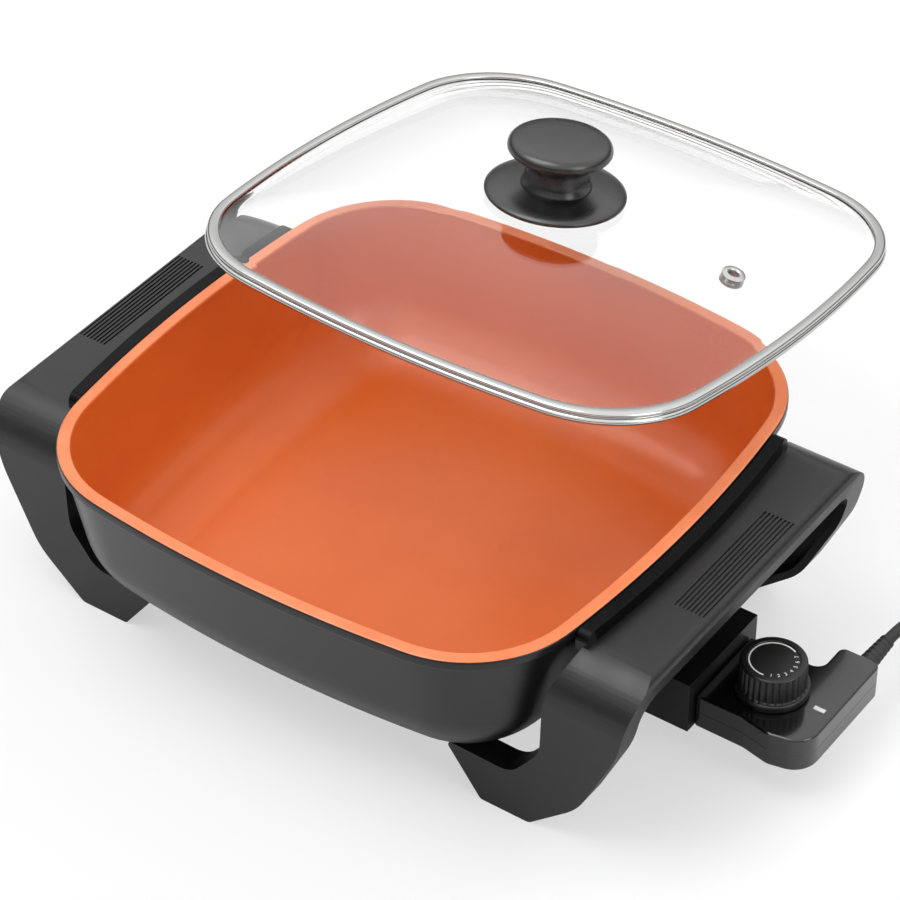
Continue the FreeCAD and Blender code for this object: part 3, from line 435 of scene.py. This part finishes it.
# Two flat spirals, one on the other, joined by a half loop that climbs: radius and height as functions
# of the angle turned.
def coilRoute():
    c = cordSizes
    layer = c["layerTurns"] * 2 * np.pi
    climb = np.pi
    angle = np.linspace(0, 2 * layer + climb, c["coilPoints"] + 2)[1:-1]
    rate = (c["outer"] - c["inner"]) / layer
    share = np.clip((angle - layer) / climb, 0, 1)
    radius = np.where(angle < layer, c["outer"] - rate * angle,
                      np.where(angle < layer + climb, c["inner"] - c["dip"] * np.sin(np.pi * share) ** 2,
                               c["inner"] + rate * (angle - layer - climb)))
    # the spline cuts a little inside its points
    insideCut = 1.006
    radius = radius * insideCut
    low = c["radius"] + c["floorGap"]
    height = low + c["pitch"] * (share - np.sin(2 * np.pi * share) / (2 * np.pi))
    turned = np.pi - angle
    return np.stack([c["coilX"] + radius * np.cos(turned), c["coilY"] + radius * np.sin(turned), height], 1)


def makeCord():
    c = cordSizes
    low = c["radius"] + c["floorGap"]
    high = low + c["pitch"]
    side = c["coilX"] - c["outer"]
    points = np.concatenate([
        [c["exit"]], c["sag"],
        [(*c["landing"], low), (side, c["coilY"] - 2 * c["radius"], low), (side, c["coilY"], low)],
        coilRoute(),
        [(side, c["coilY"], high), (side, c["coilY"] + c["lead"], high)]])
    data = bpy.data.curves.new("mainsCord", "CURVE")
    data.dimensions = "3D"
    spline = data.splines.new("NURBS")
    spline.points.add(len(points) - 1)
    weights = np.ones((len(points), 1))
    spline.points.foreach_set("co", np.concatenate([points * mm, weights], 1).ravel())
    spline.order_u = 3
    spline.use_endpoint_u = True
    spline.resolution_u = 6
    data.bevel_depth = c["radius"] * mm
    data.bevel_resolution = 5
    data.use_fill_caps = True
    data.materials.append(cordRubber)
    piece = bpy.data.objects.new("mainsCord", data)
    bpy.context.scene.collection.objects.link(piece)
    return piece


cord = makeCord()
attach(cord, "controller")
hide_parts("power_cord", "cord_coil")

reliefSizes = {"root": 5.2, "tip": 3.8, "long": 26.0, "ribs": 7, "collar": 6.8, "wall": 2.2, "flange": 2.0,
               "plain": 1.0, "gap": 0.2, "deep": 0.75, "edge": 0.5, "rows": 90}


# A tapered boot whose radius steps down in rounded ribs towards the cord.
def makeRelief():
    r = reliefSizes
    first = r["plain"] + r["gap"]
    along = np.linspace(first, r["long"] - r["plain"], r["rows"])
    taper = r["root"] + (r["tip"] - r["root"]) * along / r["long"]
    share = np.clip((along - first) / (r["long"] - r["plain"] - first), 0, 1)
    groove = 0.5 - 0.5 * np.cos(2 * np.pi * share * r["ribs"])
    radius = taper - r["deep"] * groove ** 3
    inside = -r["wall"] - r["flange"]
    rows = np.concatenate([
        [(0.0, inside), (r["collar"], inside), (r["collar"], -r["wall"]), (r["root"], -r["wall"])],
        [(r["root"], r["plain"])], np.stack([radius, along], 1),
        [(r["tip"], r["long"] - r["edge"]), (r["tip"] - r["edge"], r["long"]), (0.0, r["long"])]])
    x, y, z = cordSizes["exit"]
    place = Matrix.Translation(Vector((x, y - r["long"], z)) * mm) @ Matrix.Rotation(-math.pi / 2, 4, "X")
    piece = lathe("strainRelief", rows, [cordRubber], place, 64)
    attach(piece, "controller")
    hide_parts("strain_relief")
    return piece


relief = makeRelief()
plug = dressed("plug_body", "plugBody", cordRubber, "controller", 0.6)
blades = dressed("plug_blades", "plugBlades", brass, "controller", 0.15)
print("cord made")

# pan

panSizes = {"half": 152.5, "rim": 115.0, "base": 28.0, "bow": 730.0, "corner": 64.0, "lipDepth": 6.0,
            "lipWidth": 7.3, "wallTop": 149.6, "wallBase": 134.7, "round": 46.0, "wall": 4.0, "thick": 7.0,
            "flare": 1.4, "flareHigh": 1.2, "lipLow": 0.9, "lipLift": 0.2, "lipTop": 1.6, "lipInner": 1.3}


# the smallest rows keep a corner of their own
def panCorner(half):
    tightest = half * 0.05 + 1
    return np.maximum(panSizes["corner"] - (panSizes["half"] - half), tightest)


def panBow(half):
    return panSizes["bow"] - (panSizes["half"] - half)


# (half width, height) from the flat base round the bend and up the drafted wall
def bowlProfile(baseHalf, baseZ, topHalf, topZ, radius):
    bendRows, wallRows = 17, 6
    slope = math.atan2(topHalf - baseHalf, topZ - baseZ)
    run = radius * math.tan((math.pi / 2 - slope) / 2)
    angle = np.linspace(0, math.pi / 2 - slope, bendRows)
    bend = np.stack([baseHalf - run + radius * np.sin(angle), baseZ + radius * (1 - np.cos(angle))], 1)
    wall = np.linspace(bend[-1], (topHalf, topZ), wallRows)[1:]
    return np.concatenate([bend, wall])


def makePan():
    p = panSizes
    under = p["rim"] - p["lipDepth"]
    wallEnd = under - p["flareHigh"]
    outside = bowlProfile(p["wallBase"], p["base"], p["wallTop"], wallEnd, p["round"])
    flare = arc(p["wallTop"] + p["flare"], wallEnd, p["flare"], 180, 90, 5)[1:]
    lip = np.concatenate([
        arc(p["half"] - p["lipLow"], under + p["lipLow"] + p["lipLift"], p["lipLow"], -80, 0, 4),
        arc(p["half"] - p["lipTop"], p["rim"] - p["lipTop"], p["lipTop"], 0, 90, 7)])
    inner = p["half"] - p["lipWidth"]
    lipInner = arc(inner + p["lipInner"], p["rim"] - p["lipInner"], p["lipInner"], 90, 186, 7)
    inside = bowlProfile(p["wallBase"] - p["wall"], p["base"] + p["thick"], inner, p["rim"],
                         p["round"] - p["thick"])[::-1][1:]
    shares = np.array([0.25, 0.5, 0.75])
    baseFill = np.stack([outside[0][0] * shares, np.full(3, outside[0][1])], 1)
    floorFill = np.stack([inside[-1][0] * shares[::-1], np.full(3, inside[-1][1])], 1)
    rows = np.concatenate([baseFill, outside, flare, lip, lipInner, inside, floorFill])
    # the paint ends on the lip's outer round, and the pale lip, thin coat plus painted highlight, on its
    # inner round
    painted = len(baseFill) + len(outside) + len(flare) + len(lip) - 4
    pale = 6
    kinds = np.repeat([0, 1, 2], [painted, pale, len(rows) - 1 - pale - painted])
    piece = profileRing("castPan", rows, panCorner, panBow, [cast, lipCoatAndLight, lining], atOrigin, ringColumns)
    piece.data.polygons.foreach_set("material_index", np.repeat(kinds, ringColumns).astype(np.int32))
    capEnds(piece, ringColumns, len(rows))
    piece.data.polygons[-1].material_index = 2
    outward(piece)
    sharpen(piece, 50)
    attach(piece, "skillet")
    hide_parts("pan")


makePan()
print("pan made")

bpy.context.view_layer.update()


# painted shade: the faces of the heat ridge beside the lip get a darker, duller copy of the handle's moulding
def paintRidgeShade(mesh):
    ridgeFoot, ridgeStep = 106.9 * mm, 108 * mm
    heights = np.empty(len(mesh.vertices) * 3)
    mesh.vertices.foreach_get("co", heights)
    corners = np.empty(len(mesh.loops), np.int32)
    mesh.loops.foreach_get("vertex_index", corners)
    starts = np.empty(len(mesh.polygons), np.int32)
    mesh.polygons.foreach_get("loop_start", starts)
    cornerHeights = heights[2::3][corners]
    lowest = np.minimum.reduceat(cornerHeights, starts)
    highest = np.maximum.reduceat(cornerHeights, starts)
    onRidge = (lowest > ridgeFoot) & (highest > ridgeStep)
    mesh.materials.append(ridgeShadePlastic)
    mesh.polygons.foreach_set("material_index", onRidge.astype(np.int32))
    mesh.update()


# handles, guard and controller keep the CAD shapes with moulded edges
for nodeName, newName in (("left_handle", "leftHandle"), ("right_handle", "rightHandle")):
    handle = dressed(nodeName, newName, handlePlastic, "skillet", 0.8)
    paintRidgeShade(handle.data)
dressed("socket_guard", "socketGuard", guardPlastic, "skillet", 0.5)
dressed("controller_base", "controllerBase", shellPlastic, "controller", 0.35)
dressed("controller_cover", "controllerCover", shellPlastic, "controller", 0.35)

# the other pieces keep the CAD shape as it is and get their real material
plain = {
    "heating_element": sheath, "terminal_pins": plated, "contact_sleeves": plated, "sensor_rod": plated,
    "leg_screws": plated, "guard_screws": plated, "shell_screws": plated, "knob_screw": plated,
    "knob_washer": plated, "knob_gasket": gasketRubber, "knob_insert": brass, "thermostat_frame": plated,
    "contact_strips": plated, "bimetal_strip": plated, "contact_post": plated, "insulator_stack": ceramic,
    "indicator_lens": lensPlastic, "indicator_lamp": lampMaterial, "dial_shaft": dialPlastic,
}
for nodeName, one in plain.items():
    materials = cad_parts[nodeName].data.materials
    materials.clear()
    materials.append(one)

# lid

lidSizes = {"half": 146.4, "bow": 701.0, "corner": 61.6, "band": 7.0, "bandWide": 5.8, "bandWall": 1.5,
            "domeGap": 0.5, "rise": 21.0, "flat": 28.0, "drop": 3.5, "back": 108.3, "hover": 154.5,
            "tilt": 8.4, "ventX": 102.0, "ventY": 6.0}
lidMove = Matrix.Translation(Vector((0, lidSizes["back"], lidSizes["hover"])) * mm)
lidPose = lidMove @ Matrix.Rotation(-math.radians(lidSizes["tilt"]), 4, "X")
domeHalf = lidSizes["half"] - lidSizes["bandWide"] - lidSizes["domeGap"]
glassTop = lidSizes["band"] - lidSizes["bandWall"]


def lidCorner(half):
    return lidSizes["corner"] * half / lidSizes["half"]


def lidBow(half):
    return lidSizes["bow"] * half / lidSizes["half"]


# the glass rises by a cubic: steep at the shoulder, flat in the middle
def domeHeight(half):
    return lidSizes["rise"] * (1 - (half / domeHalf) ** 3)


def makeGlass():
    s = lidSizes
    low, edge = s["bandWall"], s["half"] - s["bandWall"]
    # the rows stand closer on the shoulder than on the crown
    shoulderEnd, crownStart, innermost = 0.7, 0.68, 4
    halves = np.concatenate([np.linspace(domeHalf, domeHalf * shoulderEnd, 14),
                             np.linspace(domeHalf * crownStart, innermost, 22)])
    outer = np.stack([halves, glassTop + domeHeight(halves)], 1)
    inner = np.stack([np.maximum(halves - s["drop"], 0.6), low + domeHeight(halves)], 1)
    rows = np.concatenate([inner[::-1], [(edge, low), (edge, glassTop)], outer])
    piece = profileRing("glassLid", rows, lidCorner, lidBow, [glass], lidPose, ringColumns)
    capEnds(piece, ringColumns, len(rows))
    outward(piece)
    sharpen(piece, 60)
    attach(piece, "lid")
    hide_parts("lid_glass")


# A U-shaped band: a rolled outer nose, a groove, a bead above and both edges folded over the glass.
def makeBand():
    half, high, wall = lidSizes["half"], lidSizes["band"], lidSizes["bandWall"]
    inside = half - lidSizes["bandWide"]
    nose, groove, bead, fold, lap = 2.1, 0.75, 1.5, 0.7, 0.2
    grooveIn, grooveHigh, beadIn = 0.7, 4.35, 2.2
    rows = np.concatenate([
        arc(half - nose, nose, nose, -90, 62, 12),
        arc(half - grooveIn, grooveHigh, groove, 215, 150, 4),
        arc(half - beadIn, high - bead, bead, -30, 90, 10),
        arc(inside + fold, high - fold, fold, 90, 190, 5),
        [(inside + lap, high - wall), (half - wall, high - wall), (half - wall, wall), (inside + lap, wall)],
        arc(inside + fold, fold, fold, 170, 270, 5)])
    piece = profileRing("steelBand", rows, lidCorner, lidBow, [bandSteel], lidPose, 256, closed=True)
    outward(piece)
    sharpen(piece, 45)
    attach(piece, "lid")
    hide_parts("lid_band")


makeGlass()
makeBand()

knobSizes = {"collar": 36.0, "collarThick": 6.0, "neck": 16.5, "grip": 26.5, "gripHigh": 24.5, "bolt": 2.5,
             "gasket": 1.0, "insert": 4.6, "insertHigh": 12.0}
collarLow = glassTop + domeHeight(lidSizes["flat"]) + knobSizes["gasket"]
gripLow = collarLow + knobSizes["collarThick"]


def makeKnob():
    k = knobSizes
    bolt, neck, rim, grip, top = k["bolt"], k["neck"], k["collar"], k["grip"], gripLow + k["gripHigh"]
    rimRound, waist, lowRound, topRound = 1.5, 7.3, 2.0, 4.0
    collarRows = np.concatenate([
        [(bolt, collarLow), (rim - 1.4, collarLow)],
        arc(rim - rimRound, collarLow + rimRound, rimRound, -90, 40, 8),
        [(rim - 2.2, collarLow + 3.4), (rim - 8, collarLow + 4.6), (neck + 6, collarLow + 5.2),
         (neck + 2.2, gripLow - 0.1), (bolt, gripLow - 0.05), (bolt, collarLow)]])
    piece = lathe("knobCollar", collarRows, [knobPlastic], lidPose, 128)
    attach(piece, "lid")
    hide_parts("knob_collar")
    # up the insert's hole, out under the neck, up its waist and over the grip
    gripRows = np.concatenate([
        [(0.0, gripLow + k["insertHigh"]), (k["insert"], gripLow + k["insertHigh"])],
        [(k["insert"], gripLow + 0.02), (neck + 1.6, gripLow + 0.02), (neck + 1.4, gripLow + 1.0),
         (neck + 0.3, gripLow + 3.0), (neck, gripLow + 6.0), (neck + 0.2, gripLow + 10.0)],
        arc(neck + 7.5, gripLow + 10.5, waist, 175, 100, 9), [(grip - 1.6, gripLow + 17.8)],
        arc(grip - lowRound, gripLow + 19.9, lowRound, -80, 0, 6),
        arc(grip - topRound, top - topRound, topRound, 0, 78, 9),
        [(grip - 8, top + 0.2), (grip - 16, top + 0.5), (0.0, top + 0.6)]])
    piece = lathe("knobGrip", gripRows, [knobPlastic], lidPose, 128)
    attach(piece, "lid")
    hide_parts("knob_grip")


makeKnob()


# an eyelet through the glass: a flat flange below and a rolled one above
def makeVent():
    bore, body, flange, flangeThick, low, seat = 2.6, 4.2, 6.2, 0.9, -5.95, 0.25
    outerRoll, innerRoll, innerHigh = 0.5, 1.3, 0.55
    reach = math.hypot(lidSizes["ventX"], lidSizes["ventY"])
    slope = math.atan(3 * lidSizes["rise"] * reach ** 2 / domeHalf ** 3)
    spot = Vector((lidSizes["ventX"], lidSizes["ventY"], glassTop + domeHeight(reach))) * mm
    place = lidPose @ Matrix.Translation(spot) @ Matrix.Rotation(slope, 4, "Y")
    rows = np.concatenate([
        [(bore, low), (flange, low), (flange, low + flangeThick), (body, low + flangeThick), (body, seat)],
        arc(flange - outerRoll, seat + outerRoll, outerRoll, -90, 90, 5),
        arc(bore + innerRoll, innerHigh, innerRoll, 90, 180, 7), [(bore, low)]])
    piece = lathe("steamEyelet", rows, [plated], place, 48)
    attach(piece, "lid")
    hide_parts("steam_vent")


makeVent()
print("lid made")

# dial

dialSizes = {"x": 203.5, "low": 40.3, "skirt": 18.5, "step": 4.0, "radius": 16.5, "high": 18.5, "ribs": 30,
             "ribDeep": 0.75, "dish": 0.45, "bore": 0.5}


# A lathe whose radius ripples with the angle on the grip's rows, so each rib is rounded.
def makeDial():
    d = dialSizes
    steps = d["ribs"] * 8
    angle = np.arange(steps) / steps * 2 * np.pi
    low, top, skirt, radius = d["low"], d["low"] + d["high"], d["skirt"], d["radius"]
    step = low + d["step"]
    lowRound, stepRound, topRound = 0.6, 1.0, 1.3
    rows = np.concatenate([
        [(d["bore"], low), (skirt - lowRound, low)],
        arc(skirt - lowRound, low + lowRound, lowRound, -90, 0, 4)[1:],
        arc(skirt - stepRound, step - stepRound, stepRound, 0, 90, 5), [(radius + 0.7, step)],
        [(radius + 0.4, step + 0.5), (radius + 0.3, step + 1.2)],
        [(radius + 0.1, top - 3.0), (radius, top - 2.0)],
        arc(radius - topRound, top - topRound, topRound, 10, 90, 6),
        [(radius - 3.4, top), (radius - 3.7, top - d["dish"]), (d["bore"], top - d["dish"])]])
    ribbed = (rows[:, 1] > step + 0.4) & (rows[:, 1] < top - 1.0) & (rows[:, 0] > radius - 1.5)
    dip = d["ribDeep"] * (1 - np.abs(np.sin(angle * d["ribs"] / 2)) ** 0.8)
    reach = rows[:, 0][:, None] - ribbed[:, None] * dip[None]
    heights = np.repeat(rows[:, 1][:, None], steps, 1)
    points = placed(np.stack([d["x"] + reach * np.cos(angle), reach * np.sin(angle), heights], 2), atOrigin)
    piece = addMesh("dialKnob", points, gridFaces(len(rows), steps), [dialPlastic])
    capEnds(piece, steps, len(rows))
    outward(piece)
    sharpen(piece, 40)
    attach(piece, "dial")
    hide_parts("dial_knob")


makeDial()


def inkMesh(name, mesh, place):
    mesh.transform(place)
    mesh.materials.clear()
    mesh.materials.append(ink)
    piece = bpy.data.objects.new(name, mesh)
    bpy.context.scene.collection.objects.link(piece)
    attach(piece, "dial")


scaleSizes = {"ring": 12.3, "ringWide": 0.75, "ringFrom": 62, "ringTo": 276, "numberRadius": 11.2,
              "ringPoints": 108, "numberHigh": 2.9, "first": -66, "step": 18.5, "inkLift": 0.03}


# A printed arc and plain numbers on the dial's top.
def makeScale():
    d, s = dialSizes, scaleSizes
    top = d["low"] + d["high"] - d["dish"] + s["inkLift"]
    centre = Matrix.Translation(Vector((d["x"], 0, top)) * mm)
    sweep = np.radians(np.linspace(s["ringFrom"], s["ringTo"], s["ringPoints"]))
    circle = np.stack([np.cos(sweep), np.sin(sweep), 0 * sweep], 1)
    inner, outer = (s["ring"] - s["ringWide"]) * circle, s["ring"] * circle
    index = np.arange(len(sweep) - 1)
    faces = np.stack([index, index + len(sweep), index + len(sweep) + 1, index + 1], 1)
    mesh = bpy.data.meshes.new("scaleRing")
    mesh.from_pydata((np.concatenate([inner, outer]) * mm).tolist(), [], faces.tolist())
    inkMesh("scaleRing", mesh, centre)
    for count, text in enumerate("1234567"):
        angle = math.radians(s["first"] + count * s["step"])
        data = bpy.data.curves.new("number" + text, "FONT")
        data.body = text
        data.size = s["numberHigh"] * mm
        data.align_x = "CENTER"
        data.align_y = "CENTER"
        made = bpy.data.objects.new("numberCurve" + text, data)
        bpy.context.scene.collection.objects.link(made)
        bpy.context.view_layer.update()
        mesh = bpy.data.meshes.new_from_object(made)
        bpy.data.objects.remove(made)
        spot = Vector((math.cos(angle), math.sin(angle), 0)) * s["numberRadius"] * mm
        turn = Matrix.Rotation(angle + math.pi / 2, 4, "Z")
        inkMesh("dialNumber" + text, mesh, centre @ Matrix.Translation(spot) @ turn)


makeScale()
print("dial made")

# stage

# the floor, the world and the point that the lamps aim at
studio = {"floor": 8, "floorDrop": 0.0002, "floorGlow": 0.55, "ambient": 0.6, "mirrorDark": 0.1,
          "mirrorBright": 1.55, "darkBelow": 0.12, "brightAbove": 0.5, "aim": (0, 0.03, 0.08)}


# the light path, and one for the rays that see the floor or the backdrop itself
def plainRays(tree):
    rays = node(tree, "ShaderNodeLightPath")
    return rays, node(tree, "ShaderNodeMath", {"operation": "MAXIMUM"}, _0=rays.outputs["Is Camera Ray"],
                      _1=rays.outputs["Is Transmission Ray"]).outputs[0]


# a white floor that keeps the object's shadow, lightened as in a studio
def makeFloor():
    bpy.ops.mesh.primitive_plane_add(size=studio["floor"], location=(0, 0, -studio["floorDrop"]))
    floor = bpy.context.object
    floor.name = "studioFloor"
    made, tree, shader = material("studioPaper", "#F4F4F4", roughness=0.9)
    floor.data.materials.append(made)
    glow = node(tree, "ShaderNodeEmission", Color=(1, 1, 1, 1), Strength=1.0)
    share = node(tree, "ShaderNodeMath", {"operation": "MULTIPLY"}, _0=plainRays(tree)[1],
                 _1=studio["floorGlow"])
    mix = node(tree, "ShaderNodeMixShader", _0=share.outputs[0], _1=shader.outputs[0], _2=glow.outputs[0])
    tree.links.new(mix.outputs[0], tree.nodes["Material Output"].inputs["Surface"])


# white backdrop; mirrors see it too, grey towards the horizon as the room beyond the softboxes is
def makeBackdrop():
    world = bpy.data.worlds.new("studio")
    bpy.context.scene.world = world
    world.use_nodes = True
    tree = world.node_tree
    background = tree.nodes["Background"]
    background.inputs["Color"].default_value = (1, 1, 1, 1)
    background.inputs["Strength"].default_value = studio["ambient"]
    rays, plain = plainRays(tree)
    height = node(tree, "ShaderNodeSeparateXYZ", Vector=node(tree, "ShaderNodeTexCoord").outputs["Generated"])
    rise = node(tree, "ShaderNodeMapRange", Value=height.outputs["Z"],
                From_Min=studio["darkBelow"], From_Max=studio["brightAbove"],
                To_Min=studio["mirrorDark"], To_Max=studio["mirrorBright"])
    mirrored = node(tree, "ShaderNodeBackground", Color=(1, 1, 1, 1), Strength=rise.outputs[0])
    white = node(tree, "ShaderNodeBackground", Color=(1, 1, 1, 1), Strength=1.0)
    first = node(tree, "ShaderNodeMixShader", _0=rays.outputs["Is Glossy Ray"], _1=background.outputs[0],
                 _2=mirrored.outputs[0])
    mix = node(tree, "ShaderNodeMixShader", _0=plain, _1=first.outputs[0], _2=white.outputs[0])
    tree.links.new(mix.outputs[0], tree.nodes["World Output"].inputs["Surface"])


makeFloor()
makeBackdrop()


# place and size in metres, power in watts, and whether mirrors see it
lamps = {
    "keySoftbox": ((-0.5, -0.5, 1.9), (1.4, 1.4), 22, True),
    "backSoftbox": ((0.2, 1.7, 1.2), (1.8, 0.9), 16, False),
    "sideSoftbox": ((1.7, -0.2, 0.9), (0.7, 1.2), 8, True),
}


def makeLamp(name, place, size, power, gloss):
    data = bpy.data.lights.new(name, "AREA")
    data.shape = "RECTANGLE"
    data.size, data.size_y = size
    data.energy = power
    lamp = bpy.data.objects.new(name, data)
    lamp.location = place
    lamp.visible_glossy = gloss
    lamp.visible_transmission = gloss
    lamp.rotation_euler = (Vector(place) - Vector(studio["aim"])).to_track_quat("Z", "Y").to_euler()
    bpy.context.scene.collection.objects.link(lamp)


for name, values in lamps.items():
    makeLamp(name, *values)
print("studio made")

scene = bpy.context.scene
scene.view_settings.view_transform = "Standard"
bpy.context.view_layer.update()
print("scene made")
